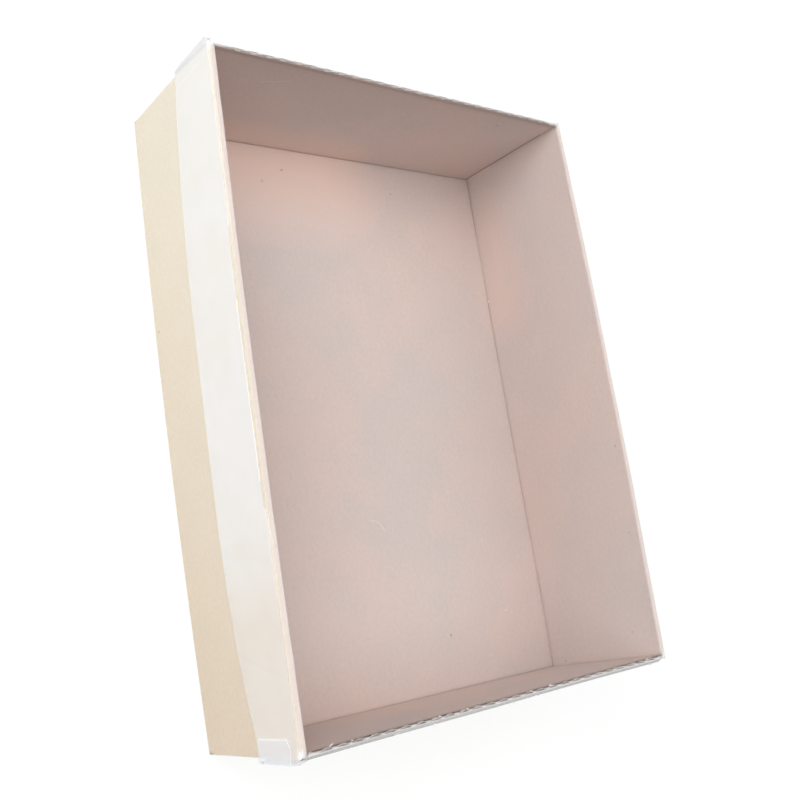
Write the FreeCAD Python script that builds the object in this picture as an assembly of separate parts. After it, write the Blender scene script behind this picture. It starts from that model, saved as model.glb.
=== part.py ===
import FreeCAD
import Part
import os

# A tray folded from one sheet of single-wall corrugated card, held at its corners by clear tape.
# Frame: X along the length, Y across the width, Z up out of the open top.
# The origin is on the underside, at the centre of the floor.
# The front is the long wall at -Y, the back is the long wall at +Y.
# The left end is the short wall at -X, the right end is the short wall at +X.
# All sizes are in millimetres.

# Overall sizes of the folded sheet, over the outside of the board
tray_length = 305.0
tray_width = 222.7
wall_height = 80.8
board_thickness = 3.4

# Folds: the board is rounded outside and scored inside
bend_radius = 1.8
score_depth = 0.35

# The walls stand a little out of square: how far each top corner has moved along X and Y
rim_shift_front_left = (-1.6, -0.5)
rim_shift_back_left = (0.5, 0.3)
rim_shift_back_right = (-2.3, 0.6)
rim_shift_front_right = (0.4, -2.4)

# The long walls bulge: rise of the arc at half length, negative where it is inwards
front_base_bow = 2.2
front_rim_bow = 1.0
back_base_bow = -0.9
back_rim_bow = 2.0

# Butt joints between the short walls and the long walls
joint_gap = 0.45
open_joint_gap = 0.9
end_setback = 1.0

# Top edges
long_rim_outer_round = 1.3
long_rim_inner_round = 0.8
crush_depth = 1.6
crush_height = 3.0

# Open flute ends along the top edges of the short walls
flute_pitch = 8.05
flute_end_depth = 2.0
flute_web = 1.3
flute_slope = 1.5
liner_thickness = 0.3
medium_thickness = 0.25

# Clear packing tape
film_thickness = 0.2
tape_width = 42.0
front_tape_low_at_left = 48.8
front_tape_low_beside_left = 41.9
front_tape_low_at_middle = 39.6
front_tape_low_beside_right = 40.2
front_tape_low_at_right = 50.0
front_tape_flat_reach = 91.0
bare_rim_start = -62.0
bare_rim_end = 52.0
bare_rim_slant = 16.0
tape_drop_from_rim = 1.6
tape_turn_in = 7.0
tape_turn_in_end_margin = 9.0
left_wrap = 32.0
right_wrap = 46.0
tab_on_front = 8.6
tab_on_end = 36.0
tab_low = 48.0
tab_high = 74.6
tab_corner_round = 3.0
back_tape_low = 29.0
back_wrap = 34.0

# Extra length that a cutting shape has past the face it cuts
overrun = 2.0


def vec(x, y, z):
    """Point or direction from its three coordinates."""
    return FreeCAD.Vector(x, y, z)


def corners(z, inset):
    """Corners of the outside outline at height z, moved inwards by inset, front left first."""
    share = z / wall_height
    half_x = tray_length / 2 - inset
    half_y = tray_width / 2 - inset
    places = (
        (-half_x, -half_y, rim_shift_front_left),
        (half_x, -half_y, rim_shift_front_right),
        (half_x, half_y, rim_shift_back_right),
        (-half_x, half_y, rim_shift_back_left),
    )
    return [vec(x + shift[0] * share, y + shift[1] * share, z) for x, y, shift in places]


def bows(z):
    """Rise of the front and of the back wall's bulge at height z."""
    share = z / wall_height
    front = front_base_bow + (front_rim_bow - front_base_bow) * share
    back = back_base_bow + (back_rim_bow - back_base_bow) * share
    return front, back


def bulged(start, end, rise):
    """Arc from start to end whose middle stands out by rise, towards the right of the run."""
    along = (end - start).normalize()
    outwards = vec(along.y, -along.x, 0)
    middle = (start + end) * 0.5 + outwards * rise
    return Part.Arc(start, middle, end).toShape()


def outline_edges(z, inset):
    """The four sides at height z: front, right, back, left."""
    front_left, front_right, back_right, back_left = corners(z, inset)
    front_bow, back_bow = bows(z)
    return [
        bulged(front_left, front_right, front_bow),
        Part.makeLine(front_right, back_right),
        bulged(back_right, back_left, back_bow),
        Part.makeLine(back_left, front_left),
    ]


def ruled(lower_wire, upper_wire):
    """Closed solid with straight sides between two closed wires, its faces turned outwards."""
    solid = Part.makeLoft([lower_wire, upper_wire], True, True)
    if solid.Volume < 0:
        solid.reverse()
    return solid


def polygon(points):
    """Closed wire through the points."""
    return Part.makePolygon(points + [points[0]])


def outline_block(inset, low, high):
    """Solid that fills the outline, moved inwards by inset, from height low to height high."""
    return ruled(Part.Wire(outline_edges(low, inset)), Part.Wire(outline_edges(high, inset)))


def side_face_x(side, y, z, inset=0.0):
    """X of a short wall's face at y and z. side is -1 for the left end, 1 for the right end."""
    front_left, front_right, back_right, back_left = corners(z, inset)
    front, back = (front_left, back_left) if side < 0 else (front_right, back_right)
    share = (y - front.y) / (back.y - front.y)
    return front.x + (back.x - front.x) * share


def level_edges(shape, z):
    """Edges of a shape that lie wholly at height z."""
    return [e for e in shape.Edges if all(abs(v.Z - z) < 1e-6 for v in e.Vertexes)]


def rim_edges(shape, z, hand):
    """Edges at height z along one long wall, outermost first. hand is -1 for the front, 1 for the back."""
    edges = [e for e in level_edges(shape, z) if e.Length > tray_length / 2]
    beside = [e for e in edges if e.CenterOfMass.y * hand > tray_width / 4]
    return sorted(beside, key=lambda e: -abs(e.CenterOfMass.y))


def gap_at(side, hand):
    """Width of the butt joint at one corner: the left end's back joint has sprung open."""
    return open_joint_gap if side < 0 < hand else joint_gap


def inner_corner(side, hand, z):
    """Inside corner between a short wall and a long wall at height z."""
    front_left, front_right, back_right, back_left = corners(z, board_thickness)
    if hand < 0:
        return front_left if side < 0 else front_right
    return back_left if side < 0 else back_right


def joint_slots():
    """Slots that part the short walls from the long walls, from the fold up."""
    slots = []
    for side in (-1, 1):
        for hand in (-1, 1):
            gap = gap_at(side, hand)
            rings = []
            for z in (board_thickness, wall_height + overrun):
                corner = inner_corner(side, hand, z)
                x_in = corner.x - side * overrun
                x_out = corner.x + side * (board_thickness + overrun)
                rings.append([
                    vec(x_in, corner.y, z),
                    vec(x_out, corner.y, z),
                    vec(x_out, corner.y - hand * gap, z),
                    vec(x_in, corner.y - hand * gap, z),
                ])
            slots.append(ruled(polygon(rings[0]), polygon(rings[1])))
    return slots


def end_strips():
    """Strips that leave the long walls' ends a little short of the short walls' outer faces."""
    strips = []
    for side in (-1, 1):
        for hand in (-1, 1):
            rings = []
            for z in (-overrun, wall_height + overrun):
                inner = inner_corner(side, hand, z)
                x_out = inner.x + side * (board_thickness + overrun)
                x_end = inner.x + side * (board_thickness - end_setback)
                y_out = inner.y + hand * (board_thickness + overrun)
                rings.append([
                    vec(x_end, inner.y, z),
                    vec(x_out, inner.y, z),
                    vec(x_out, y_out, z),
                    vec(x_end, y_out, z),
                ])
            strips.append(ruled(polygon(rings[0]), polygon(rings[1])))
    return strips


def rim_end(side, hand, z):
    """Y at which a short wall's top edge starts or ends, beside its joint."""
    return inner_corner(side, hand, z).y - hand * gap_at(side, hand)


def crushed_edges():
    """What the knife pressed away from the outside of the short walls' top edges."""
    cuts = []
    crushed_from = wall_height - crush_height
    for side in (-1, 1):
        rings = []
        for hand in (-1, 1):
            y = rim_end(side, hand, wall_height) + hand * joint_gap / 2
            top_x = side_face_x(side, y, wall_height)
            low_x = side_face_x(side, y, crushed_from)
            clear_x = top_x + side * overrun
            rings.append([
                vec(low_x, y, crushed_from),
                vec(clear_x, y, crushed_from),
                vec(clear_x, y, wall_height + overrun),
                vec(top_x - side * crush_depth, y, wall_height + overrun),
                vec(top_x - side * crush_depth, y, wall_height),
            ])
        cuts.append(ruled(polygon(rings[0]), polygon(rings[1])))
    return cuts


def flute_end(side, y, inner_side):
    """One open flute end: a pocket whose long side lies along a liner."""
    rim_thickness = board_thickness - crush_depth
    pocket_room = rim_thickness - 2 * liner_thickness - medium_thickness
    pocket_width = pocket_room / 2
    inner_x = side_face_x(side, y, wall_height, board_thickness)
    if inner_side:
        liner_x = inner_x + side * liner_thickness
        ridge_x = liner_x + side * pocket_width
    else:
        liner_x = inner_x + side * (rim_thickness - liner_thickness)
        ridge_x = liner_x - side * pocket_width
    half_long = (flute_pitch - flute_web) / 2
    half_short = half_long - flute_slope
    low = wall_height - flute_end_depth
    points = [
        vec(liner_x, y - half_long, low),
        vec(liner_x, y + half_long, low),
        vec(ridge_x, y + half_short, low),
        vec(ridge_x, y - half_short, low),
    ]
    face = Part.Face(polygon(points))
    return face.extrude(vec(0, 0, flute_end_depth + overrun))


def flute_ends():
    """Both rows of open flute ends on both short walls."""
    pockets = []
    for side in (-1, 1):
        low_y = rim_end(side, -1, wall_height)
        high_y = rim_end(side, 1, wall_height)
        count = int((high_y - low_y) / flute_pitch)
        first = (low_y + high_y - flute_pitch * (count - 1)) / 2
        for number in range(count):
            y = first + flute_pitch * number
            pockets.append(flute_end(side, y, True))
            if number < count - 1:
                pockets.append(flute_end(side, y + flute_pitch / 2, False))
    return pockets


def score_lines():
    """Square groove that follows the inside of the four folds."""
    low = board_thickness - score_depth
    high = board_thickness + score_depth
    plate = outline_block(low, low, high)
    return plate.cut(outline_block(high, low - overrun, high + overrun))


def folded_tray():
    """The folded sheet: floor, four walls, rounded folds, butt joints and cut top edges."""
    block = outline_block(0, 0, wall_height)
    block = block.makeFillet(bend_radius, level_edges(block, 0))
    outer_rims = [rim_edges(block, wall_height, hand)[0] for hand in (-1, 1)]
    block = block.makeFillet(long_rim_outer_round, outer_rims)
    cavity = outline_block(board_thickness, board_thickness, wall_height + overrun)
    tray = block.cut(cavity)
    inner_rims = [rim_edges(tray, wall_height, hand)[-1] for hand in (-1, 1)]
    tray = tray.makeFillet(long_rim_inner_round, inner_rims)
    tray = tray.cut(score_lines())
    for cuts in (joint_slots(), end_strips(), crushed_edges(), flute_ends()):
        tray = tray.cut(cuts)
    return tray


def front_wall_slab(grow):
    """The front wall with its rounded top, thickened by grow on every face."""
    low = front_tape_low_at_middle - overrun
    rings = []
    for z in (low, wall_height + grow):
        outer_left, outer_right = corners(z, -grow)[:2]
        inner_left, inner_right = corners(z, board_thickness + grow)[:2]
        inner_left.x = outer_left.x
        inner_right.x = outer_right.x
        bow = bows(z)[0]
        rings.append([
            bulged(outer_left, outer_right, bow),
            Part.makeLine(outer_right, inner_right),
            bulged(inner_left, inner_right, bow),
            Part.makeLine(inner_left, outer_left),
        ])
    slab = ruled(Part.Wire(rings[0]), Part.Wire(rings[1]))
    slab = slab.makeFillet(long_rim_outer_round + grow, [rim_edges(slab, wall_height + grow, -1)[0]])
    return slab.makeFillet(long_rim_inner_round + grow, [rim_edges(slab, wall_height + grow, -1)[-1]])


def box_between(x_range, y_range, z_range):
    """Axis-aligned box between the given limits."""
    size = [high - low for low, high in (x_range, y_range, z_range)]
    return Part.makeBox(size[0], size[1], size[2], vec(x_range[0], y_range[0], z_range[0]))


def skin(inner_offset, low, high):
    """Film all round the outside of the tray, inner_offset away from the board."""
    outer = outline_block(-inner_offset - film_thickness, low, high)
    return outer.cut(outline_block(-inner_offset, low - overrun, high + overrun))


def below_front_tape():
    """Region under the front tape's lower edge, a smooth curve along the wall."""
    half = tray_length / 2
    reach = half + overrun + film_thickness
    points = [
        vec(-reach, 0, front_tape_low_at_left),
        vec(-front_tape_flat_reach, 0, front_tape_low_beside_left),
        vec(0, 0, front_tape_low_at_middle),
        vec(front_tape_flat_reach, 0, front_tape_low_beside_right),
        vec(reach, 0, front_tape_low_at_right),
    ]
    edge = Part.BSplineCurve()
    edge.interpolate(points)
    low_left = vec(-reach, 0, 0)
    low_right = vec(reach, 0, 0)
    wire = Part.Wire([
        edge.toShape(),
        Part.makeLine(points[-1], low_right),
        Part.makeLine(low_right, low_left),
        Part.makeLine(low_left, points[0]),
    ])
    face = Part.Face(wire)
    face.translate(vec(0, -tray_width, 0))
    return face.extrude(vec(0, tray_width, 0))


def bare_rim():
    """Stretch of the front wall's top edge that the tape leaves bare."""
    outer_y = -tray_width / 2 - 2 * overrun
    inner_y = -tray_width / 2 + board_thickness + overrun
    low = wall_height - tape_drop_from_rim
    points = [
        vec(bare_rim_start, outer_y, low),
        vec(bare_rim_end, outer_y, low),
        vec(bare_rim_end + bare_rim_slant, inner_y, low),
        vec(bare_rim_start - bare_rim_slant, inner_y, low),
    ]
    return Part.Face(polygon(points)).extrude(vec(0, 0, tape_drop_from_rim + overrun))


def front_tape(tray):
    """Clear tape along the front wall, over its top edge at both ends and round both corners."""
    half = tray_length / 2
    front_y = -tray_width / 2
    past_end = half + 2 * overrun
    turn_end = half - tape_turn_in_end_margin
    behind = outline_block(board_thickness / 2, 0, wall_height)
    wall_range = (front_y - 2 * overrun, front_y + board_thickness + 2 * overrun)
    whole_height = (0, wall_height)

    tape = front_wall_slab(film_thickness).cut(front_wall_slab(0)).cut(below_front_tape())
    tape = tape.cut(outline_block(board_thickness / 2, 0, wall_height - tape_turn_in))
    bare = (bare_rim_start - bare_rim_slant, bare_rim_end + bare_rim_slant)
    for reach in ((-past_end, -turn_end), bare, (turn_end, past_end)):
        tape = tape.cut(behind.common(box_between(reach, wall_range, whole_height)))
    tape = tape.cut(bare_rim())

    wrap_top = wall_height - crush_height
    wrap_start = front_y + board_thickness / 2
    ring = skin(0, min(front_tape_low_at_left, front_tape_low_at_right), wrap_top)
    wraps = (
        ((-past_end, -half + board_thickness), front_tape_low_at_left, left_wrap),
        ((half - board_thickness, past_end), front_tape_low_at_right, right_wrap),
    )
    for reach, low, wrap in wraps:
        tape = tape.cut(box_between(reach, (wrap_start, 0), whole_height))
        tape = tape.fuse(ring.common(box_between(reach, (wrap_start, front_y + wrap), (low, wrap_top))))
    return tape.removeSplitter().cut(tray)


def corner_tape_tab(front):
    """Short second piece of tape over the front right corner, on top of the front tape."""
    half = tray_length / 2
    front_y = -tray_width / 2
    past = tray_width / 20
    ring = skin(film_thickness, tab_low, tab_high)
    box = box_between((half - tab_on_front, half + past), (front_y - past, front_y + tab_on_end),
                      (tab_low, tab_high))
    inside = box_between((0, half - board_thickness), (front_y + board_thickness, tray_width), (0, wall_height))
    tab = ring.common(box.cut(inside))
    free_x = half - tab_on_front
    rounded = [e for e in tab.Edges
               if abs(e.CenterOfMass.x - free_x) < film_thickness and e.Length < 2 * film_thickness]
    return tab.makeFillet(tab_corner_round, rounded).cut(front)


def back_tape():
    """Clear tape along the back wall, round both corners."""
    half = tray_length / 2
    back_y = tray_width / 2
    past = tray_width / 20
    ring = skin(0, back_tape_low, back_tape_low + tape_width)
    keep = box_between((-half - past, half + past), (back_y - back_wrap, back_y + past),
                       (0, wall_height))
    return ring.common(keep)


def write_step(name, shape):
    """Write one sub-part, as a plain solid, to the parts folder."""
    print(name, "solids", len(shape.Solids), "valid", shape.isValid(), "volume", round(shape.Volume, 1))
    shape.Solids[0].exportStep(os.path.join("parts", name + ".step"))


def main():
    """Build every sub-part and write each to its own file."""
    os.makedirs("parts", exist_ok=True)
    tray = folded_tray()
    front = front_tape(tray)
    write_step("folded_tray", tray)
    write_step("front_tape", front)
    write_step("corner_tape_tab", corner_tape_tab(front))
    write_step("back_tape", back_tape())


main()
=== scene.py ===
import logging
import math
import random
from dataclasses import dataclass, field
from enum import Enum

import bmesh
import bpy
from mathutils import Matrix, Vector, noise


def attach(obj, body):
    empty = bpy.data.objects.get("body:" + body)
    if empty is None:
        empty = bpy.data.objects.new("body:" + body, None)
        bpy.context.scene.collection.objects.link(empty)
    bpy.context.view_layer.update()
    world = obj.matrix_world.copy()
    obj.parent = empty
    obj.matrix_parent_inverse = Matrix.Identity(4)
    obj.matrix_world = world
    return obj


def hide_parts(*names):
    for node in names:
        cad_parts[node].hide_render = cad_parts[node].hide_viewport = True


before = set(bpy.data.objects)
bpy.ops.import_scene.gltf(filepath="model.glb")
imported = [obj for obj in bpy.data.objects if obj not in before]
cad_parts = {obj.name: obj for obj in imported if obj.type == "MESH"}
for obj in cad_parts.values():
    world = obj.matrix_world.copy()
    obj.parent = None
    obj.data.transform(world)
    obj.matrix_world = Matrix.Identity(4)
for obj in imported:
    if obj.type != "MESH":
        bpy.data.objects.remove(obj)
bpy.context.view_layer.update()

LOG = logging.getLogger("tray_box")
BODY = "root"
SHEET_MAP = "sheet"
INSIDE_SHARE = "inside_share"
CUT_SHARE = "cut_share"
MILK = "milk"
WELD_DISTANCE = 1e-6
CUT_TOLERANCE = 1e-7
FLAT_WITHIN_DEGREES = 0.5
FLAT_PANEL_WEIGHT = 80

Shade = tuple[int, int, int]
Socket = bpy.types.NodeSocket
Value = float | Socket


class Slot(Enum):
    """Material slots of the record, for the board and the tape."""

    BOARD = "kraft_board"
    TAPE = "clear_tape"


class Panel(Enum):
    """Which way a patch of the folded sheet faces."""

    LEVEL = 2
    SHORT_WALL = 0
    LONG_WALL = 1


def clamp(value: float, low: float = 0.0, high: float = 1.0) -> float:
    """Returns value, kept between low and high."""
    return max(low, min(high, value))


def ease(value: float, low: float, high: float) -> float:
    """Returns a smooth step of value, 0 at low and 1 at high."""
    share = clamp((value - low) / (high - low))
    return share * share * (3 - 2 * share)


def hump(share: float) -> float:
    """Returns a smooth arch of share, 0 at both ends and 1 halfway."""
    return 4 * share * (1 - share)


def linear(red: int, green: int, blue: int) -> tuple[float, float, float, float]:
    """Turns a display colour of 0 to 255 into the linear colour that a shader takes.

    Args:
        red: Red level.
        green: Green level.
        blue: Blue level.

    Returns:
        Linear red, green, blue and an alpha of 1.
    """
    levels = [level / 255 for level in (red, green, blue)]
    parts = [s / 12.92 if s <= 0.04045 else ((s + 0.055) / 1.055) ** 2.4 for s in levels]
    return parts[0], parts[1], parts[2], 1.0


@dataclass(frozen=True)
class Stance:
    """How the folded tray stands: leaning corners, bulging long walls and slow waves in its panels.

    A square place is where a point of the sheet would be if every wall stood upright and flat.
    The origin is under the middle of the floor. Front is -Y and left is -X.
    """

    length: float = 0.305
    width: float = 0.2227
    height: float = 0.0808
    board: float = 0.0034
    lean_front_left: tuple[float, float] = (-0.0016, -0.0005)
    lean_back_left: tuple[float, float] = (0.0005, 0.0003)
    lean_back_right: tuple[float, float] = (-0.0023, 0.0006)
    lean_front_right: tuple[float, float] = (0.0004, -0.0024)
    front_base_bow: float = 0.0022
    front_rim_bow: float = 0.0010
    back_base_bow: float = -0.0009
    back_rim_bow: float = 0.0020
    wall_wave: float = 0.00030
    wall_wave_fade: int = 4
    floor_wave: float = 0.00045
    floor_wave_fade: int = 8
    wave_length: float = 0.085
    left_wave_seed: float = 3.0
    right_wave_seed: float = 7.0
    front_wave_seed: float = 13.0
    back_wave_seed: float = 17.0
    floor_wave_seed: float = 29.0
    rim_wear: float = 0.00014
    rim_wear_length: float = 0.012
    rim_wear_depth: float = 0.0035
    rim_dent_seed: float = 41.0
    rim_dip_seed: float = 53.0
    rim_dip_bias: float = 0.3
    flute_depth: float = 0.0024
    flute_shown: float = 0.75
    cut_edge_soft: float = 0.1
    cut_fade_start: float = 0.0034
    cut_fade_end: float = 0.0020
    corner_pinch: float = 0.0013
    corner_pinch_reach: float = 0.045
    corner_pinch_height: float = 0.06
    settle_rounds: int = 4

    def across(self, place: float, size: float) -> float:
        """Returns the share of the way from one wall's inner face to the other's."""
        return clamp((place + size / 2 - self.board) / (size - 2 * self.board))

    def lean(self, square: Vector) -> Vector:
        """Returns how far the leaning corners and the bulging walls move a square place."""
        right = self.across(square.x, self.length)
        back = self.across(square.y, self.width)
        up = square.z / self.height
        corners = (
            (self.lean_front_left, (1 - right) * (1 - back)),
            (self.lean_front_right, right * (1 - back)),
            (self.lean_back_left, (1 - right) * back),
            (self.lean_back_right, right * back),
        )
        moved = Vector((0, 0, 0))
        for corner, weight in corners:
            moved += Vector((corner[0], corner[1], 0)) * weight * up
        depth = clamp(self.width / 2 - abs(square.y), 0, self.board)
        arch = max(0.0, 1 - (square.x / (self.length / 2 - depth)) ** 2)
        front_bow = self.front_base_bow + (self.front_rim_bow - self.front_base_bow) * up
        back_bow = self.back_base_bow + (self.back_rim_bow - self.back_base_bow) * up
        moved.y += arch * (back_bow * back - front_bow * (1 - back))
        return moved

    def waves(self, square: Vector) -> Vector:
        """Returns the slow unevenness of the panels at a square place."""
        up = clamp((square.z - self.board) / (self.height - self.board))
        scale = 1 / self.wave_length
        right = self.across(square.x, self.length)
        back = self.across(square.y, self.width)
        near_end = 1 - hump(right)
        near_long = 1 - hump(back)
        end_seed = self.right_wave_seed if square.x > 0 else self.left_wave_seed
        long_seed = self.back_wave_seed if square.y > 0 else self.front_wave_seed
        along_x = noise.noise(Vector((square.y * scale, square.z * scale, end_seed)))
        along_y = noise.noise(Vector((square.x * scale, square.z * scale, long_seed)))
        sag = noise.noise(Vector((square.x * scale, square.y * scale, self.floor_wave_seed)))
        middle = min(1.0, 2 * hump(right) * hump(back))
        return Vector((
            along_x * self.wall_wave * up * near_end ** self.wall_wave_fade,
            along_y * self.wall_wave * up * near_long ** self.wall_wave_fade,
            sag * self.floor_wave * middle * (1 - up) ** self.floor_wave_fade,
        ))

    def pinch(self, square: Vector) -> float:
        """Returns how far the back wall's foot is pinched in near its right end."""
        from_end = clamp((self.length / 2 - square.x) / self.corner_pinch_reach)
        low = 1 - ease(square.z, 0.0, self.corner_pinch_height)
        return self.corner_pinch * (1 - from_end) ** 2 * low * ease(square.y, 0.0, self.width / 2)

    def wear(self, square: Vector) -> Vector:
        """Returns the small dents along the top edges and the back wall's pinched foot."""
        near_rim = ease(square.z, self.height - self.rim_wear_depth, self.height)
        scale = 1 / self.rim_wear_length
        dent = noise.noise(Vector((square.x * scale, square.y * scale, self.rim_dent_seed)))
        dip = noise.noise(Vector((square.x * scale, square.y * scale, self.rim_dip_seed)))
        push = dent * self.rim_wear * near_rim
        on_short_wall = abs(square.x) > self.length / 2 - 2 * self.board
        cut_depth = self.board * (1 + self.cut_edge_soft)
        below = self.height - square.z
        at_flutes = abs(square.x) > self.length / 2 - cut_depth and 0 < below < self.flute_depth
        filled = below * (1 - self.flute_shown) if at_flutes else 0.0
        return Vector((
            push if on_short_wall else 0.0,
            (0.0 if on_short_wall else push) - self.pinch(square),
            (dip - self.rim_dip_bias) * self.rim_wear * near_rim + filled,
        ))

    def stand(self, square: Vector) -> Vector:
        """Moves a square place to where it stands on the real tray."""
        return square + self.lean(square) + self.waves(square) + self.wear(square)

    def square(self, place: Vector) -> Vector:
        """Finds the square place of a point on the leaning solid."""
        guess = place.copy()
        for _ in range(self.settle_rounds):
            guess = place - self.lean(guess)
        return guess

    def inside_share(self, square: Vector) -> float:
        """Returns 0 on the outside of the board, 1 on its inside and between across a cut edge."""
        depth = min(self.length / 2 - abs(square.x), self.width / 2 - abs(square.y), square.z)
        return clamp(depth / self.board)

    def cut_share(self, square: Vector) -> float:
        """Returns 1 on the cut top edges of the short walls and 0 well away from them."""
        end_depth = self.length / 2 - abs(square.x)
        outer = self.board * (1 - self.cut_edge_soft)
        inner = self.board * (1 + self.cut_edge_soft)
        near_end = 1 - ease(end_depth, outer, inner)
        return near_end * ease(square.z, self.height - self.cut_fade_start, self.height - self.cut_fade_end)


def patch_panel(normal: Vector) -> Panel:
    """Returns the panel that a patch with this square normal belongs to."""
    sizes = [abs(normal.x), abs(normal.y), abs(normal.z)]
    return Panel(sizes.index(max(sizes)))


def sheet_place(square: Vector, panel: Panel, stance: Stance) -> tuple[float, float]:
    """Returns where a square place lies on the flat sheet, before the walls were folded up.

    Args:
        square: Place on the square tray.
        panel: Panel that the patch belongs to.
        stance: Sizes of the tray.

    Returns:
        Distance along the flutes and across them, in metres.
    """
    if panel is Panel.SHORT_WALL:
        return math.copysign(stance.length / 2 + square.z, square.x), square.y
    if panel is Panel.LONG_WALL:
        return square.x, math.copysign(stance.width / 2 + square.z, square.y)
    return square.x, square.y


def cut_at(bm: bmesh.types.BMesh, place: Vector, normal: Vector) -> None:
    """Cuts every face that one plane crosses.

    Args:
        bm: Mesh to cut.
        place: Point on the plane.
        normal: Direction that the plane faces.
    """
    geom = [*bm.verts, *bm.edges, *bm.faces]
    bmesh.ops.bisect_plane(bm, geom=geom, dist=CUT_TOLERANCE, plane_co=place, plane_no=normal)


def cut_into_grid(bm: bmesh.types.BMesh, steps: tuple[float, float, float]) -> None:
    """Cuts every face along evenly spaced planes.

    Args:
        bm: Mesh to cut.
        steps: Spacing of the planes along X, Y and Z.
    """
    for axis, step in enumerate(steps):
        places = [vertex.co[axis] for vertex in bm.verts]
        low, high = min(places), max(places)
        count = max(1, round((high - low) / step))
        normal = Vector((0, 0, 0))
        normal[axis] = 1
        for number in range(1, count):
            place = Vector((0, 0, 0))
            place[axis] = low + (high - low) * number / count
            cut_at(bm, place, normal)


def fine_copy(node: str, stance: Stance, steps: tuple[float, float, float],
              levels: tuple[float, ...] = ()) -> bmesh.types.BMesh:
    """Copies a solid, sets it square and cuts it into a fine grid.

    Args:
        node: Name of the solid.
        stance: How the solid stands.
        steps: Spacing of the grid along X, Y and Z.
        levels: Extra heights to cut at.

    Returns:
        The square mesh, with its flat-sheet map and its shares across the board.
    """
    bm = bmesh.new()
    bm.from_mesh(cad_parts[node].data)
    bmesh.ops.remove_doubles(bm, verts=bm.verts, dist=WELD_DISTANCE)
    for vertex in bm.verts:
        vertex.co = stance.square(vertex.co)
    flat = math.radians(FLAT_WITHIN_DEGREES)
    bmesh.ops.dissolve_limit(bm, angle_limit=flat, verts=bm.verts, edges=bm.edges)
    cut_into_grid(bm, steps)
    for level in levels:
        cut_at(bm, Vector((0, 0, level)), Vector((0, 0, 1)))
    sheet_map = bm.loops.layers.uv.new(SHEET_MAP)
    inside = bm.verts.layers.float.new(INSIDE_SHARE)
    cut = bm.verts.layers.float.new(CUT_SHARE)
    bm.normal_update()
    for face in bm.faces:
        panel = patch_panel(face.normal)
        for loop in face.loops:
            loop[sheet_map].uv = sheet_place(loop.vert.co, panel, stance)
    for vertex in bm.verts:
        vertex[inside] = stance.inside_share(vertex.co)
        vertex[cut] = stance.cut_share(vertex.co)
    return bm


def finish_piece(bm: bmesh.types.BMesh, name: str, material: bpy.types.Material,
                 sharp_degrees: float = 40.0) -> bpy.types.Object:
    """Turns a mesh into a shaded piece that rides on the tray.

    Args:
        bm: Finished mesh, in the tray's frame.
        name: Name of the piece.
        material: Finish of the piece.
        sharp_degrees: Angle past which an edge stays sharp.

    Returns:
        The piece.
    """
    mesh = bpy.data.meshes.new(name)
    bm.to_mesh(mesh)
    bm.free()
    mesh.shade_smooth()
    mesh.set_sharp_from_angle(angle=math.radians(sharp_degrees))
    mesh.materials.append(material)
    piece = bpy.data.objects.new(name, mesh)
    bpy.context.scene.collection.objects.link(piece)
    flat = piece.modifiers.new("flat_panels", "WEIGHTED_NORMAL")
    flat.keep_sharp = True
    flat.weight = FLAT_PANEL_WEIGHT
    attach(piece, BODY)
    return piece


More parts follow.
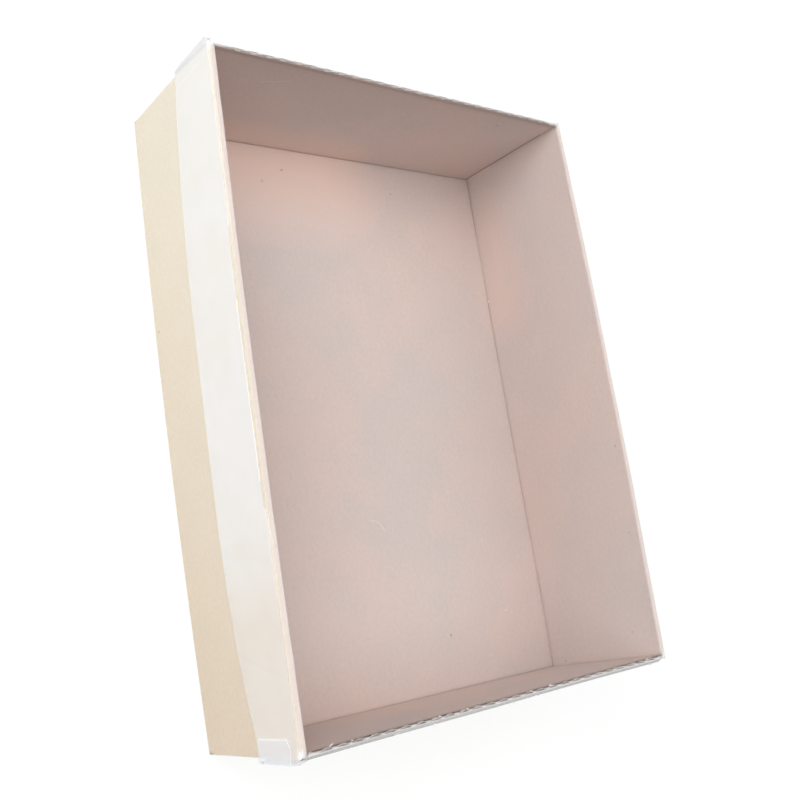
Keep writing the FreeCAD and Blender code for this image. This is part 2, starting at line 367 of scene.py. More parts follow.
class Graph:
    """Adds nodes and links to one shader tree."""

    def __init__(self, tree: bpy.types.NodeTree) -> None:
        """Starts on a tree."""
        self.tree = tree

    def add(self, kind: str, **settings: object) -> bpy.types.Node:
        """Adds a node and sets its own properties."""
        node = self.tree.nodes.new(kind)
        for name, value in settings.items():
            setattr(node, name, value)
        return node

    def put(self, socket: Socket, value: Value | tuple) -> None:
        """Links a socket to another, or writes a constant on it."""
        if isinstance(value, bpy.types.NodeSocket):
            self.tree.links.new(value, socket)
        else:
            socket.default_value = value

    def math(self, operation: str, first: Value, second: Value = 0.0, third: Value = 0.0,
             keep: bool = False) -> Socket:
        """Adds one step of arithmetic.

        Args:
            operation: Name of the operation, such as MULTIPLY.
            first: First value.
            second: Second value.
            third: Third value, where the operation takes one.
            keep: True keeps the result between 0 and 1.

        Returns:
            The result.
        """
        node = self.add("ShaderNodeMath", operation=operation, use_clamp=keep)
        for socket, value in zip(node.inputs, (first, second, third)):
            self.put(socket, value)
        return node.outputs[0]

    def blend(self, share: Value, first: Value | tuple, second: Value | tuple) -> Socket:
        """Mixes two colours, the first where share is 0."""
        node = self.add("ShaderNodeMix", data_type="RGBA")
        self.put(node.inputs["Factor"], share)
        self.put(node.inputs[6], first)
        self.put(node.inputs[7], second)
        return node.outputs[2]

    def vector(self, operation: str, first: Value | tuple,
               second: Value | tuple = (0, 0, 0)) -> bpy.types.Node:
        """Adds one step of vector arithmetic and returns its node."""
        node = self.add("ShaderNodeVectorMath", operation=operation)
        self.put(node.inputs[0], first)
        self.put(node.inputs[1], second)
        return node

    def scale_colour(self, colour: Value | tuple, factor: Value) -> Socket:
        """Multiplies a colour by one value."""
        node = self.add("ShaderNodeVectorMath", operation="SCALE")
        self.put(node.inputs[0], colour)
        self.put(node.inputs["Scale"], factor)
        return node.outputs[0]

    def span(self, value: Value, low: float, high: float, to_low: float = 0.0,
             to_high: float = 1.0) -> Socket:
        """Maps a value from one range to another, kept within it."""
        node = self.add("ShaderNodeMapRange", clamp=True)
        for socket, number in zip(node.inputs, (value, low, high, to_low, to_high)):
            self.put(socket, number)
        return node.outputs[0]

    def noise(self, vector: Socket, scale: Value, detail: float = 3.0, rough: float = 0.5) -> Socket:
        """Adds a soft random pattern and returns its value, about 0.5 on average."""
        node = self.add("ShaderNodeTexNoise")
        self.put(node.inputs["Vector"], vector)
        self.put(node.inputs["Scale"], scale)
        self.put(node.inputs["Detail"], detail)
        self.put(node.inputs["Roughness"], rough)
        return node.outputs[0]

    def stretched(self, vector: Socket, scale: tuple[float, float, float],
                  turn: float = 0.0) -> Socket:
        """Scales and turns the place that a pattern is read at.

        Args:
            vector: Place on the surface.
            scale: Scale along each axis.
            turn: Turn about Z, in degrees.

        Returns:
            The new place.
        """
        node = self.add("ShaderNodeMapping")
        self.put(node.inputs["Vector"], vector)
        self.put(node.inputs["Rotation"], (0.0, 0.0, math.radians(turn)))
        self.put(node.inputs["Scale"], scale)
        return node.outputs[0]


class PaperGrain:
    """Shared shader group: the mottle, fibres and flecks of recycled kraft paper."""

    name = "paper_grain"
    patch_scale = 9.0
    cloud_scale = 38.0
    mottle_scale = 500.0
    speckle_scale = 1500.0
    cloud_tone = 0.25
    mottle_tone = 0.60
    speckle_tone = 0.35
    patch_warmth = 0.75
    cloud_warmth = 0.25
    warmth_span = (0.36, 0.64)
    mottle_height = 0.6
    fibre_height = 0.4
    speckle_height = 0.35
    fibre_directions = (12.0, 58.0, 103.0, 149.0)
    fibre_long = 210.0
    fibre_thin = 2100.0
    fibre_span = (0.62, 0.78)
    fleck_soft = 0.4
    dark_fleck_scale = 95.0
    dark_fleck_size = 0.075
    dark_fleck_rare = 0.90
    light_fleck_scale = 76.0
    light_fleck_size = 0.06
    light_fleck_rare = 0.93

    def __init__(self) -> None:
        """Builds the group once."""
        self.tree = bpy.data.node_groups.new(self.name, "ShaderNodeTree")
        face = self.tree.interface
        face.new_socket("Place", in_out="INPUT", socket_type="NodeSocketVector")
        for label in ("Tone", "Warmth", "Fibres", "Dark Flecks", "Light Flecks", "Height"):
            face.new_socket(label, in_out="OUTPUT", socket_type="NodeSocketFloat")
        self._build()

    def _fibres(self, graph: Graph, place: Socket) -> Socket:
        """Adds thin short fibres in several directions and returns how strongly each place shows one."""
        total: Value = 0.0
        for turn in self.fibre_directions:
            lane = graph.stretched(place, (self.fibre_long, self.fibre_thin, 1.0), turn)
            strand = graph.noise(lane, 1.0, detail=1.0, rough=0.4)
            total = graph.math("ADD", total, graph.span(strand, *self.fibre_span))
        return graph.math("MINIMUM", total, 1.0)

    def _flecks(self, graph: Graph, place: Socket, scale: float, size: float, rare: float) -> Socket:
        """Adds sparse small specks.

        Args:
            graph: Tree that is being built.
            place: Place on the sheet.
            scale: Cells for each metre.
            size: Share of a cell that its speck fills.
            rare: Share of cells that hold no speck.

        Returns:
            A mask of the specks.
        """
        cells = graph.add("ShaderNodeTexVoronoi", feature="F1")
        graph.put(cells.inputs["Vector"], place)
        graph.put(cells.inputs["Scale"], scale)
        spot = graph.span(cells.outputs["Distance"], size, size * self.fleck_soft)
        dice = graph.add("ShaderNodeSeparateColor")
        graph.put(dice.inputs[0], cells.outputs["Color"])
        chosen = graph.math("GREATER_THAN", dice.outputs[0], rare)
        return graph.math("MULTIPLY", graph.math("MULTIPLY", spot, chosen), dice.outputs[1])

    def _sum(self, graph: Graph, parts: tuple[tuple[Socket, float], ...], middle: float = 0.0) -> Socket:
        """Adds up patterns, each less its middle and with its own strength."""
        total: Value = 0.0
        for pattern, strength in parts:
            change = graph.math("MULTIPLY", graph.math("SUBTRACT", pattern, middle), strength)
            total = graph.math("ADD", total, change)
        return total

    def _build(self) -> None:
        """Fills the group's tree."""
        graph = Graph(self.tree)
        place = graph.add("NodeGroupInput").outputs["Place"]
        patches = graph.noise(place, self.patch_scale, detail=2.0, rough=0.5)
        clouds = graph.noise(place, self.cloud_scale, detail=3.0, rough=0.55)
        mottle = graph.noise(place, self.mottle_scale, detail=3.0, rough=0.55)
        speckle = graph.noise(place, self.speckle_scale, detail=2.0, rough=0.6)
        fibres = self._fibres(graph, place)
        tone = self._sum(graph, ((clouds, self.cloud_tone), (mottle, self.mottle_tone),
                                 (speckle, self.speckle_tone)), middle=0.5)
        warmth = self._sum(graph, ((patches, self.patch_warmth), (clouds, self.cloud_warmth)))
        height = self._sum(graph, ((mottle, self.mottle_height), (fibres, self.fibre_height),
                                   (speckle, self.speckle_height)))
        dark = self._flecks(graph, place, self.dark_fleck_scale, self.dark_fleck_size, self.dark_fleck_rare)
        light = self._flecks(graph, place, self.light_fleck_scale, self.light_fleck_size,
                             self.light_fleck_rare)
        out = graph.add("NodeGroupOutput")
        graph.put(out.inputs["Tone"], tone)
        graph.put(out.inputs["Warmth"], graph.span(warmth, *self.warmth_span))
        graph.put(out.inputs["Fibres"], fibres)
        graph.put(out.inputs["Dark Flecks"], dark)
        graph.put(out.inputs["Light Flecks"], light)
        graph.put(out.inputs["Height"], height)


@dataclass(frozen=True)
class Stroke:
    """One soft mark on the flat sheet: a line, or a dot where both ends are the same.

    Places and widths are in metres, along and across the flat sheet.
    """

    start: tuple[float, float]
    end: tuple[float, float]
    half_width: float
    strength: float
    soft: float = 0.0004


class StrokeMask:
    """Shared shader group: how strongly one stroke covers a place."""

    name = "stroke_mask"
    vectors = ("Place", "Start", "End")
    values = ("Half Width", "Soft", "Strength")

    def __init__(self) -> None:
        """Builds the group once."""
        self.tree = bpy.data.node_groups.new(self.name, "ShaderNodeTree")
        face = self.tree.interface
        for label in self.vectors:
            face.new_socket(label, in_out="INPUT", socket_type="NodeSocketVector")
        for label in self.values:
            face.new_socket(label, in_out="INPUT", socket_type="NodeSocketFloat")
        face.new_socket("Mask", in_out="OUTPUT", socket_type="NodeSocketFloat")
        self._build()

    def _build(self) -> None:
        """Fills the group's tree: the distance from a place to the nearest point of the line."""
        graph = Graph(self.tree)
        given = graph.add("NodeGroupInput").outputs
        line = graph.vector("SUBTRACT", given["End"], given["Start"]).outputs[0]
        away = graph.vector("SUBTRACT", given["Place"], given["Start"]).outputs[0]
        reach = graph.vector("DOT_PRODUCT", away, line).outputs["Value"]
        long = graph.vector("DOT_PRODUCT", line, line).outputs["Value"]
        share = graph.math("DIVIDE", reach, long, keep=True)
        near = graph.scale_colour(line, share)
        gap = graph.vector("SUBTRACT", away, near).outputs[0]
        distance = graph.vector("LENGTH", gap).outputs["Value"]
        inner = graph.math("SUBTRACT", given["Half Width"], given["Soft"])
        fade = graph.math("DIVIDE", graph.math("SUBTRACT", distance, inner), given["Soft"], keep=True)
        mask = graph.math("MULTIPLY", graph.math("SUBTRACT", 1.0, fade), given["Strength"])
        graph.put(graph.add("NodeGroupOutput").inputs["Mask"], mask)

    def draw(self, graph: Graph, place: Socket, strokes: tuple[Stroke, ...]) -> Value:
        """Draws strokes into another tree.

        Args:
            graph: Tree to draw in.
            place: Place on the flat sheet.
            strokes: Strokes to draw.

        Returns:
            The strongest stroke at each place, or 0 where there are none.
        """
        total: Value = 0.0
        for stroke in strokes:
            mark = graph.add("ShaderNodeGroup", node_tree=self.tree)
            graph.put(mark.inputs["Place"], place)
            graph.put(mark.inputs["Start"], (*stroke.start, 0.0))
            graph.put(mark.inputs["End"], (*stroke.end, 0.0))
            graph.put(mark.inputs["Half Width"], stroke.half_width)
            graph.put(mark.inputs["Soft"], stroke.soft)
            graph.put(mark.inputs["Strength"], stroke.strength)
            total = graph.math("MAXIMUM", total, mark.outputs[0])
        return total


# Marks on the flat sheet as the photo shows them: start, end, half width, strength and soft edge
# The warm patches are partly a warmer tint of the paper and partly painted light on the floor's left end
# and the back wall's left foot.
WARM_PATCHES_AND_PAINTED_LIGHT = (
    Stroke((-0.1360, -0.0900), (-0.1380, -0.0050), 0.0480, 0.80, 0.0460),
    Stroke((-0.0650, 0.1250), (-0.1100, 0.1300), 0.0300, 0.25, 0.0290),
)
DARK_SPECKS = (
    Stroke((-0.1368, -0.0294), (-0.1368, -0.0290), 0.0008, 0.40),
    Stroke((-0.1290, -0.0426), (-0.1284, -0.0422), 0.0007, 0.30),
    Stroke((-0.1320, 0.0443), (-0.1318, 0.0446), 0.0007, 0.30),
    Stroke((0.1209, 0.0361), (0.1211, 0.0363), 0.0008, 0.45),
    Stroke((0.0371, 0.1876), (0.0371, 0.1876), 0.0008, 0.35),
)
LIGHT_SPECKS = (
    Stroke((0.0731, 0.0702), (0.0733, 0.0702), 0.0007, 0.30),
    Stroke((0.1133, 0.0786), (0.1133, 0.0790), 0.0008, 0.35),
    Stroke((0.1356, 0.0625), (0.1356, 0.0625), 0.0007, 0.30),
    Stroke((-0.0693, 0.1090), (-0.0693, 0.1158), 0.0007, 0.90),
    Stroke((0.0557, -0.0048), (0.0572, 0.0002), 0.0004, 0.40),
    Stroke((0.0572, 0.0002), (0.0627, 0.0043), 0.0004, 0.35),
    Stroke((-0.2140, -0.0747), (-0.2200, -0.0600), 0.0005, 0.25),
)


@dataclass(frozen=True)
class KraftBoard:
    """Finish of the folded sheet: pinkish brown inside, pale tan outside with painted light, and a painted
    highlight and painted shade across the cut top edges.
    """

    grain: PaperGrain
    marks: StrokeMask
    stance: Stance
    # Painted light: the outside is paler at the left end and darker at the right end.
    outside_painted_lit_left: Shade = (235, 227, 208)
    outside_painted_shaded_right: Shade = (226, 210, 189)
    rim: Shade = (241, 227, 219)
    warm_patch_and_painted_light: Shade = (252, 222, 208)
    inside_warm: Shade = (222, 203, 195)
    inside_cool: Shade = (215, 203, 199)
    # Painted highlight on the pale outer part of the cut top edges, painted shade of the flutes on their
    # inner part.
    cut_outer_painted_highlight: Shade = (252, 251, 249)
    cut_inner_painted_shade: Shade = (168, 152, 146)
    fibre: Shade = (240, 226, 214)
    dark_fleck: Shade = (120, 92, 74)
    light_fleck: Shade = (252, 246, 238)
    # Painted shade in the folds round the floor and in the butt joints.
    crease_shade: Shade = (112, 88, 78)
    outside_fades: tuple[float, float] = (0.05, 0.35)
    lining_starts: tuple[float, float] = (0.75, 1.0)
    marks_start: tuple[float, float] = (0.85, 0.98)
    cut_highlight_to_shade_span: tuple[float, float] = (0.45, 0.97)
    tone_strength: float = 0.24
    fibre_strength: float = 0.10
    dark_fleck_strength: float = 0.45
    light_fleck_strength: float = 0.5
    roughness: float = 0.82
    rough_change: float = 0.15
    specular: float = 0.3
    relief: float = 0.00005
    relief_strength: float = 0.4
    # Reach and strength of the painted shade along each fold and butt joint.
    crease_shade_reach: float = 0.0005
    end_crease_shade: float = 0.42
    front_crease_shade: float = 0.40
    back_crease_shades: tuple[tuple[float, float, float], ...] = (
        (-0.1462, -0.1130, 0.40),
        (-0.0690, -0.0335, 0.40),
        (-0.0335, 0.0760, 0.26),
        (0.0760, 0.1485, 0.10),
    )
    butt_gap: float = 0.0004
    butt_stop: float = 0.012
    butt_soft: float = 0.0008
    left_butt_half_width: float = 0.0015
    left_butt_shade_strength: float = 0.85
    right_butt_half_width: float = 0.0012
    right_butt_shade_strength: float = 0.55

    def _crease_shades(self) -> tuple[Stroke, ...]:
        """Returns the painted shade along the folds round the floor and down the two back butt joints."""
        half = self.stance.board + self.crease_shade_reach
        side = self.stance.width / 2
        end = self.stance.length / 2
        run = side - self.stance.board
        lines = [Stroke((x, -run), (x, run), half, self.end_crease_shade) for x in (-end, end)]
        lines.append(Stroke((-end, -side), (end, -side), half, self.front_crease_shade))
        lines += [Stroke((low, side), (high, side), half, dark) for low, high, dark in self.back_crease_shades]
        butt = run - self.butt_gap
        tall = end + self.stance.height
        lines.append(Stroke((self.butt_stop - tall, butt), (-end, butt), self.left_butt_half_width,
                            self.left_butt_shade_strength, self.butt_soft))
        lines.append(Stroke((end, butt), (tall, butt), self.right_butt_half_width,
                            self.right_butt_shade_strength, self.butt_soft))
        return tuple(lines)

    def _liner(self, graph: Graph, place: Socket, inside: Socket, warmth: Socket) -> Socket:
        """Returns the colour of the paper, outside, across the rim and inside, with painted light on the
        outside.

        Args:
            graph: Tree that is being built.
            place: Place on the flat sheet.
            inside: Share of the way through the board.
            warmth: How warm the inside is at each place.

        Returns:
            The colour.
        """
        lining = graph.blend(warmth, linear(*self.inside_cool), linear(*self.inside_warm))
        along = graph.add("ShaderNodeSeparateXYZ")
        graph.put(along.inputs[0], place)
        # Painted light: the outside fades from paler at the left end to darker at the right end.
        reach = self.stance.length / 2
        painted_light_shift = graph.span(along.outputs[0], -reach, reach)
        outside = graph.blend(painted_light_shift, linear(*self.outside_painted_lit_left), linear(*self.outside_painted_shaded_right))
        to_rim = graph.blend(graph.span(inside, *self.outside_fades), outside, linear(*self.rim))
        return graph.blend(graph.span(inside, *self.lining_starts), to_rim, lining)

    def _paper(self, graph: Graph, colour: Socket, grain: bpy.types.Node) -> Socket:
        """Lays the fibres, mottle and flecks of the paper over a colour."""
        share = graph.math("MULTIPLY", grain.outputs["Fibres"], self.fibre_strength)
        colour = graph.blend(share, colour, linear(*self.fibre))
        tone = graph.math("MULTIPLY_ADD", grain.outputs["Tone"], self.tone_strength, 1.0)
        colour = graph.scale_colour(colour, tone)
        dark = graph.math("MULTIPLY", grain.outputs["Dark Flecks"], self.dark_fleck_strength)
        colour = graph.blend(dark, colour, linear(*self.dark_fleck))
        light = graph.math("MULTIPLY", grain.outputs["Light Flecks"], self.light_fleck_strength)
        return graph.blend(light, colour, linear(*self.light_fleck))

    def _marked(self, graph: Graph, colour: Socket, place: Socket, inside: Socket) -> Socket:
        """Draws the warm patches with painted light, the painted shade of the folds and butt joints, and
        the specks and scratches over the inside's colour.
        """
        within = graph.span(inside, *self.marks_start)
        layers = (
            # Warm patches: partly warmer paper, partly painted light.
            (WARM_PATCHES_AND_PAINTED_LIGHT, self.warm_patch_and_painted_light),
            # Painted shade along the folds and butt joints.
            (self._crease_shades(), self.crease_shade),
            (DARK_SPECKS, self.dark_fleck),
            (LIGHT_SPECKS, self.light_fleck),
        )
        for strokes, paint in layers:
            mask = self.marks.draw(graph, place, strokes)
            colour = graph.blend(graph.math("MULTIPLY", mask, within), colour, linear(*paint))
        return colour

    def make(self) -> bpy.types.Material:
        """Builds the material."""
        material = bpy.data.materials.new("kraft_board")
        material.use_nodes = True
        graph = Graph(material.node_tree)
        shader = material.node_tree.nodes["Principled BSDF"]
        place = graph.add("ShaderNodeUVMap", uv_map=SHEET_MAP).outputs[0]
        inside = graph.add("ShaderNodeAttribute", attribute_name=INSIDE_SHARE).outputs["Fac"]
        cut = graph.add("ShaderNodeAttribute", attribute_name=CUT_SHARE).outputs["Fac"]
        grain = graph.add("ShaderNodeGroup", node_tree=self.grain.tree)
        graph.put(grain.inputs["Place"], place)
        colour = self._liner(graph, place, inside, grain.outputs["Warmth"])
        # Painted highlight on each cut edge's outer part, fading to painted shade on its inner part.
        across = graph.span(inside, *self.cut_highlight_to_shade_span)
        edge = graph.blend(across, linear(*self.cut_outer_painted_highlight), linear(*self.cut_inner_painted_shade))
        colour = self._paper(graph, graph.blend(cut, colour, edge), grain)
        graph.put(shader.inputs["Base Color"], self._marked(graph, colour, place, inside))
        rough = graph.math("MULTIPLY_ADD", grain.outputs["Tone"], self.rough_change, self.roughness,
                           keep=True)
        graph.put(shader.inputs["Roughness"], rough)
        shader.inputs["Specular IOR Level"].default_value = self.specular
        bump = graph.add("ShaderNodeBump")
        bump.inputs["Strength"].default_value = self.relief_strength
        bump.inputs["Distance"].default_value = self.relief
        graph.put(bump.inputs["Height"], grain.outputs["Height"])
        graph.put(shader.inputs["Normal"], bump.outputs[0])
        return material


# Painted highlights on the film: along its lifted top edge over the front wall and on a wrinkle near the
# left corner.
FILM_PAINTED_HIGHLIGHTS = (
    Stroke((-0.0330, -0.1903), (0.0430, -0.1903), 0.0006, 0.95, 0.0003),
    Stroke((0.0430, -0.1903), (0.0900, -0.1903), 0.0005, 0.35, 0.0004),
    Stroke((-0.1448, -0.1611), (-0.1461, -0.1877), 0.0011, 0.35, 0.0010),
)
# Painted shade in the film's wrinkles, near the left corner and near the right end.
FILM_PAINTED_SHADE = (
    Stroke((-0.1518, -0.1566), (-0.1497, -0.1899), 0.0013, 0.45, 0.0012),
    Stroke((0.1090, -0.1500), (0.1210, -0.1905), 0.0016, 0.14, 0.0015),
)
# Painted highlight round the edges of the corner tab.
TAB_PAINTED_HIGHLIGHTS = (
    Stroke((0.1441, -0.1604), (0.1441, -0.1836), 0.0004, 0.85, 0.0002),
    Stroke((0.1469, -0.1858), (0.1525, -0.1858), 0.0004, 0.85, 0.0002),
    Stroke((0.1441, -0.1836), (0.1469, -0.1858), 0.0004, 0.85, 0.0002),
)


@dataclass(frozen=True)
class TapeFilm:
    """Finish of the clear packing tape: milky on the walls, clear where it turns over a rim, with painted
    highlights and painted shade.
    """

    marks: StrokeMask
    name: str = "clear_tape"
    tint: Shade = (242, 244, 246)
    # Colour of the painted highlights on the film's edge and wrinkles.
    painted_highlight_tint: Shade = (255, 255, 255)
    # Colour of the painted shade in the film's wrinkles.
    painted_shade_tint: Shade = (206, 212, 222)
    clear_share: float = 0.06
    milky_share: float = 0.70
    painted_shade_cover: float = 0.6
    cloud_scale: float = 22.0
    cloud_span: tuple[float, float] = (0.3, 0.7)
    milk_change: tuple[float, float] = (0.92, 1.06)
    roughness: tuple[float, float] = (0.16, 0.26)
    refraction: float = 1.49
    wrinkle_strength: float = 0.25
    wrinkle_height: float = 0.0003
    painted_highlights: tuple[Stroke, ...] = FILM_PAINTED_HIGHLIGHTS
    grey: tuple[Stroke, ...] = FILM_PAINTED_SHADE

    def make(self) -> bpy.types.Material:
        """Builds the material, which shows only where a face is seen from its front."""
        material = bpy.data.materials.new(self.name)
        material.use_nodes = True
        graph = Graph(material.node_tree)
        shader = material.node_tree.nodes["Principled BSDF"]
        place = graph.add("ShaderNodeUVMap", uv_map=SHEET_MAP).outputs[0]
        milk = graph.add("ShaderNodeAttribute", attribute_name=MILK).outputs["Fac"]
        cloud = graph.noise(place, self.cloud_scale, detail=2.0, rough=0.5)
        change = graph.span(cloud, *self.cloud_span, *self.milk_change)
        uneven = graph.math("MULTIPLY", milk, change)
        alpha = graph.span(uneven, 0.0, 1.0, self.clear_share, self.milky_share)
        # Painted highlights on the film's edge and wrinkles.
        painted_highlights = self.marks.draw(graph, place, self.painted_highlights)
        # Painted shade in the film's wrinkles, where the film is milky.
        grey = graph.math("MULTIPLY", self.marks.draw(graph, place, self.grey), milk)
        colour = graph.blend(grey, linear(*self.tint), linear(*self.painted_shade_tint))
        colour = graph.blend(painted_highlights, colour, linear(*self.painted_highlight_tint))
        graph.put(shader.inputs["Base Color"], colour)
        marked = graph.math("MAXIMUM", graph.math("MULTIPLY", grey, self.painted_shade_cover), painted_highlights)
        away = graph.add("ShaderNodeNewGeometry").outputs["Backfacing"]
        facing = graph.math("SUBTRACT", 1.0, away)
        cover = graph.math("MAXIMUM", alpha, marked)
        graph.put(shader.inputs["Alpha"], graph.math("MULTIPLY", cover, facing))
        graph.put(shader.inputs["Roughness"], graph.span(cloud, *self.cloud_span, *self.roughness))
        shader.inputs["IOR"].default_value = self.refraction
        bump = graph.add("ShaderNodeBump")
        bump.inputs["Strength"].default_value = self.wrinkle_strength
        bump.inputs["Distance"].default_value = self.wrinkle_height
        graph.put(bump.inputs["Height"], cloud)
        graph.put(shader.inputs["Normal"], bump.outputs[0])
        return material


@dataclass
class FoldedTray:
    """The sheet of corrugated board: floor, four walls, folds, butt joints and cut top edges."""

    stance: Stance
    material: bpy.types.Material
    node: str = "folded_tray"
    name: str = "tray_sheet"
    steps: tuple[float, float, float] = (0.003, 0.003, 0.003)
    flute_foot: float = 0.0022

    def build(self) -> bpy.types.Object:
        """Builds the sheet over its solid."""
        foot = self.stance.height - self.flute_foot
        bm = fine_copy(self.node, self.stance, self.steps, (foot,))
        for vertex in bm.verts:
            vertex.co = self.stance.stand(vertex.co)
        piece = finish_piece(bm, self.name, self.material)
        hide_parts(self.node)
        return piece


@dataclass
class TornEdge:
    """Small torn fibres of paper that stand up along the right short wall's cut top edge.

    They stand in small bunches, each at the outer or at the inner paper of the board.
    """

    stance: Stance
    material: bpy.types.Material
    name: str = "torn_edge_fibres"
    places: tuple[float, ...] = (-0.0980, -0.0875, -0.0766, -0.0654, -0.0451, -0.0418, -0.0259, -0.0087,
                                 0.0012, 0.0133, 0.0158, 0.0251, 0.0709, 0.0853, 0.0955, 0.0971)
    liner_depths: tuple[float, ...] = (0.15, 0.9)
    bunches: tuple[int, ...] = (1, 2, 2, 3)
    lengths: tuple[float, float] = (0.0016, 0.0027)
    widths: tuple[float, float] = (0.0004, 0.0008)
    root_depth: float = 0.0006
    thickness: float = 0.00012
    most_curl: float = 0.9
    most_turn: float = 0.9
    most_tilt: float = 0.6
    taper: float = 0.75
    sway: float = 0.5
    bends: int = 4
    # The slivers are coloured mostly like the cut edges' painted highlight.
    inside_look: float = 0.5
    cut_look: float = 0.8
    seed: int = 5

    def _fibre(self, bm: bmesh.types.BMesh, place: Vector, dice: random.Random) -> None:
        """Adds one curled sliver of paper, its root inside the board.

        Args:
            bm: Mesh to add to.
            place: Root of the sliver.
            dice: Source of the random draws.
        """
        long = dice.uniform(*self.lengths)
        wide = dice.uniform(*self.widths)
        half = 0.5
        grid = bmesh.ops.create_grid(bm, x_segments=1, y_segments=self.bends, size=half)
        curl = dice.uniform(-self.most_curl, self.most_curl)
        turn = Matrix.Rotation(dice.uniform(-self.most_turn, self.most_turn), 3, "Z")
        tilt = Matrix.Rotation(dice.uniform(-self.most_tilt, self.most_tilt), 3, "X")
        for vertex in grid["verts"]:
            share = vertex.co.y + half
            side = vertex.co.x * wide * (1 - self.taper * share)
            bend = curl * share
            out = math.sin(bend) * long * self.sway * share
            up = math.cos(bend) * long * share
            vertex.co = place + turn @ tilt @ Vector((side, out, up))
        faces = list({face for vertex in grid["verts"] for face in vertex.link_faces})
        edges = {edge for face in faces for edge in face.edges}
        bmesh.ops.solidify(bm, geom=[*faces, *edges, *grid["verts"]], thickness=self.thickness)

    def build(self) -> bpy.types.Object:
        """Builds every sliver as one piece."""
        bm = bmesh.new()
        dice = random.Random(self.seed)
        root = self.stance.height - self.root_depth
        for across in self.places:
            depth = dice.choice(self.liner_depths) * self.stance.board
            square = Vector((self.stance.length / 2 - depth, across, root))
            for _ in range(dice.choice(self.bunches)):
                self._fibre(bm, self.stance.stand(square), dice)
        bmesh.ops.recalc_face_normals(bm, faces=bm.faces)
        sheet_map = bm.loops.layers.uv.new(SHEET_MAP)
        inside = bm.verts.layers.float.new(INSIDE_SHARE)
        cut = bm.verts.layers.float.new(CUT_SHARE)
        for face in bm.faces:
            for loop in face.loops:
                loop[sheet_map].uv = (loop.vert.co.x + loop.vert.co.z, loop.vert.co.y)
        for vertex in bm.verts:
            vertex[inside] = self.inside_look
            vertex[cut] = self.cut_look
        return finish_piece(bm, self.name, self.material)


@dataclass
class TapeStrip:
    """One strip of clear tape, laid over the board that it holds."""

    stance: Stance
    material: bpy.types.Material
    node: str
    name: str
    steps: tuple[float, float, float] = (0.003, 0.003, 0.003)
    rim_cuts: tuple[float, float] = (0.0012, 0.0006)
    rim_fade: float = 0.0010
    film_depths: tuple[float, float] = (0.0004, 0.0012)
    # Painted reflection: the film's milky white fades towards the right end.
    reflection_fade_from: float = 0.055
    reflection_fade_to: float = 0.105
    reflection_fade_share: float = 0.42
    lift: float = 0.0009
    lift_reach: float = 0.0050
    lift_heights: tuple[float, float] = (0.040, 0.058)
    lift_stop: float = 0.002

    def _milk(self, square: Vector) -> float:
        """Returns how milky the film looks at a square place, 1 on a wall and 0 over a rim, with a painted
        reflection that fades towards the right end.
        """
        stance = self.stance
        below_rim = 1 - ease(square.z, stance.height - self.rim_fade, stance.height)
        depth = min(stance.length / 2 - abs(square.x), stance.width / 2 - abs(square.y))
        outside = 1 - ease(depth, *self.film_depths)
        # Painted reflection, fading towards the right end.
        reflection_fade = 1 - self.reflection_fade_share * ease(square.x, self.reflection_fade_from, self.reflection_fade_to)
        return below_rim * outside * reflection_fade

    def _lift(self, square: Vector) -> Vector:
        """Returns how far the film stands off the board round a corner, up towards the rim."""
        stance = self.stance
        from_end = abs(square.x) - (stance.length / 2 - self.lift_reach)
        from_side = abs(square.y) - (stance.width / 2 - self.lift_reach)
        near = clamp(from_end / self.lift_reach) * clamp(from_side / self.lift_reach)
        starts = ease(square.z, *self.lift_heights)
        stops = ease(square.z, stance.height - self.lift_stop, stance.height)
        push = self.lift * near * near * starts * (1 - stops)
        return Vector((math.copysign(push, square.x), math.copysign(push, square.y), 0))

    def build(self) -> bpy.types.Object:
        """Builds the strip over its solid."""
        levels = tuple(self.stance.height - depth for depth in self.rim_cuts)
        bm = fine_copy(self.node, self.stance, self.steps, levels)
        milk = bm.verts.layers.float.new(MILK)
        for vertex in bm.verts:
            vertex[milk] = self._milk(vertex.co)
            vertex.co = self.stance.stand(vertex.co) + self._lift(vertex.co)
        piece = finish_piece(bm, self.name, self.material)
        piece.visible_shadow = False
        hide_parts(self.node)
        return piece


@dataclass(frozen=True)
class Lamp:
    """One broad soft lamp that faces the tray."""

    name: str
    direction: tuple[float, float, float]
    size: float
    share: float
    distance: float = 1.6

    def hang(self) -> bpy.types.Object:
        """Hangs the lamp. Its power grows with the square of its distance."""
        direction = Vector(self.direction).normalized()
        data = bpy.data.lights.new(self.name, "AREA")
        data.shape = "DISK"
        data.size = self.size
        data.energy = self.share * (math.pi * self.distance) ** 2
        lamp = bpy.data.objects.new(self.name, data)
        lamp.location = direction * self.distance
        lamp.rotation_euler = direction.to_track_quat("Z", "Y").to_euler()
        bpy.context.scene.collection.objects.link(lamp)
        return lamp


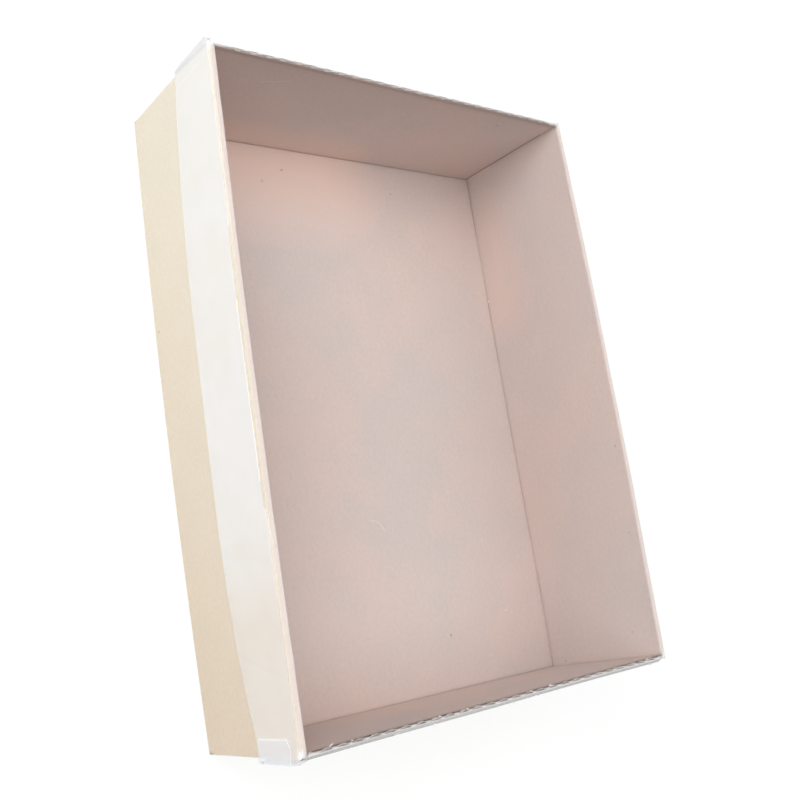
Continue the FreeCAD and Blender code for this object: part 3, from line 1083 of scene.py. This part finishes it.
@dataclass(frozen=True)
class Studio:
    """Plain pale floor, plain pale surroundings and soft lamps."""

    floor_half: float = 3.0
    floor_drop: float = 0.0002
    floor_light: Shade = (231, 231, 233)
    floor_shadow_share: float = 0.22
    floor_glow: float = 0.84
    fill: float = 0.06
    seen_level: float = 0.8
    lamps: tuple[Lamp, ...] = (
        Lamp("front_top", (0.0, -0.60, 0.80), 2.0, 0.60),
        Lamp("back_top", (0.0, 0.50, 0.86), 2.0, 0.50),
        Lamp("front_left", (-0.42, -0.55, 0.72), 1.1, 0.27),
        Lamp("front_low", (-0.15, -1.0, 0.16), 0.5, 0.17),
    )

    def _seen_directly(self, graph: Graph) -> Socket:
        """Returns 1 for rays that show the background itself or its reflection."""
        rays = graph.add("ShaderNodeLightPath")
        seen = graph.math("MAXIMUM", rays.outputs["Is Camera Ray"], rays.outputs["Is Glossy Ray"])
        return graph.math("MAXIMUM", seen, rays.outputs["Is Transmission Ray"])

    def surroundings(self) -> None:
        """Lights the world plainly and shows it as an even pale grey past the floor's far edge."""
        world = bpy.data.worlds.new("surroundings")
        bpy.context.scene.world = world
        world.use_nodes = True
        graph = Graph(world.node_tree)
        light = world.node_tree.nodes["Background"]
        light.inputs["Color"].default_value = (1, 1, 1, 1)
        light.inputs["Strength"].default_value = self.fill
        seen = graph.add("ShaderNodeBackground")
        seen.inputs["Color"].default_value = (*[self.seen_level] * 3, 1)
        seen.inputs["Strength"].default_value = 1.0
        mix = graph.add("ShaderNodeMixShader")
        graph.put(mix.inputs[0], self._seen_directly(graph))
        graph.put(mix.inputs[1], light.outputs[0])
        graph.put(mix.inputs[2], seen.outputs[0])
        graph.put(world.node_tree.nodes["World Output"].inputs["Surface"], mix.outputs[0])

    def _floor_finish(self) -> bpy.types.Material:
        """Builds the floor's finish: pale grey to the light, near white with a faint shadow to the eye."""
        material = bpy.data.materials.new("pale_floor")
        material.use_nodes = True
        graph = Graph(material.node_tree)
        material.node_tree.nodes.remove(material.node_tree.nodes["Principled BSDF"])
        lit = graph.add("ShaderNodeBsdfDiffuse")
        lit.inputs["Color"].default_value = linear(*self.floor_light)
        faint = graph.add("ShaderNodeBsdfDiffuse")
        faint.inputs["Color"].default_value = (*[self.floor_shadow_share] * 3, 1)
        glow = graph.add("ShaderNodeEmission")
        glow.inputs["Strength"].default_value = self.floor_glow
        shown = graph.add("ShaderNodeAddShader")
        graph.put(shown.inputs[0], faint.outputs[0])
        graph.put(shown.inputs[1], glow.outputs[0])
        mix = graph.add("ShaderNodeMixShader")
        graph.put(mix.inputs[0], self._seen_directly(graph))
        graph.put(mix.inputs[1], lit.outputs[0])
        graph.put(mix.inputs[2], shown.outputs[0])
        graph.put(material.node_tree.nodes["Material Output"].inputs["Surface"], mix.outputs[0])
        return material

    def floor(self) -> bpy.types.Object:
        """Lays the floor, which looks white and keeps a soft shadow."""
        bm = bmesh.new()
        bmesh.ops.create_grid(bm, x_segments=1, y_segments=1, size=self.floor_half)
        bmesh.ops.translate(bm, verts=bm.verts, vec=(0, 0, -self.floor_drop))
        mesh = bpy.data.meshes.new("floor")
        bm.to_mesh(mesh)
        bm.free()
        mesh.materials.append(self._floor_finish())
        floor = bpy.data.objects.new("floor", mesh)
        bpy.context.scene.collection.objects.link(floor)
        return floor


@dataclass(frozen=True)
class Camera:
    """Camera at the photograph's viewing angle, looking down over the front wall."""

    place: tuple[float, float, float] = (0.0976, -0.33386, 0.44271)
    turn_degrees: tuple[float, float, float] = (17.59, -37.143, 78.685)
    lens: float = 47.2215
    sensor: float = 36.0
    nearest: float = 0.01

    def build(self) -> bpy.types.Object:
        """Makes the camera the scene's own."""
        data = bpy.data.cameras.new("camera")
        data.lens = self.lens
        data.sensor_width = self.sensor
        data.clip_start = self.nearest
        camera = bpy.data.objects.new("camera", data)
        camera.location = self.place
        camera.rotation_euler = [math.radians(turn) for turn in self.turn_degrees]
        bpy.context.scene.collection.objects.link(camera)
        bpy.context.scene.camera = camera
        return camera


@dataclass
class TrayBox:
    """The whole part: the folded sheet and the tapes that hold its corners."""

    stance: Stance = field(default_factory=Stance)

    def build(self) -> list[bpy.types.Object]:
        """Builds every piece, the board first."""
        marks = StrokeMask()
        board = KraftBoard(PaperGrain(), marks, self.stance).make()
        film = TapeFilm(marks).make()
        tab = TapeFilm(marks, name="corner_tape", tint=(238, 242, 250), milky_share=0.75,
                       painted_highlights=TAB_PAINTED_HIGHLIGHTS, grey=()).make()
        makers = [
            FoldedTray(self.stance, board),
            TornEdge(self.stance, board),
            TapeStrip(self.stance, film, "front_tape", "front_tape_film"),
            TapeStrip(self.stance, tab, "corner_tape_tab", "corner_tab_film"),
            TapeStrip(self.stance, film, "back_tape", "back_tape_film"),
        ]
        return [maker.build() for maker in makers]


def main() -> None:
    """Sets the stage, builds the tray box and reports each piece."""
    logging.basicConfig(level=logging.INFO, format="%(message)s")
    view = bpy.context.scene.view_settings
    view.view_transform = "Standard"
    Camera().build()
    studio = Studio()
    studio.surroundings()
    studio.floor()
    for lamp in studio.lamps:
        lamp.hang()
    for piece in TrayBox().build():
        triangles = sum(len(face.vertices) - 2 for face in piece.data.polygons)
        LOG.info("%s: %d triangles", piece.name, triangles)


if __name__ == "__main__":
    main()
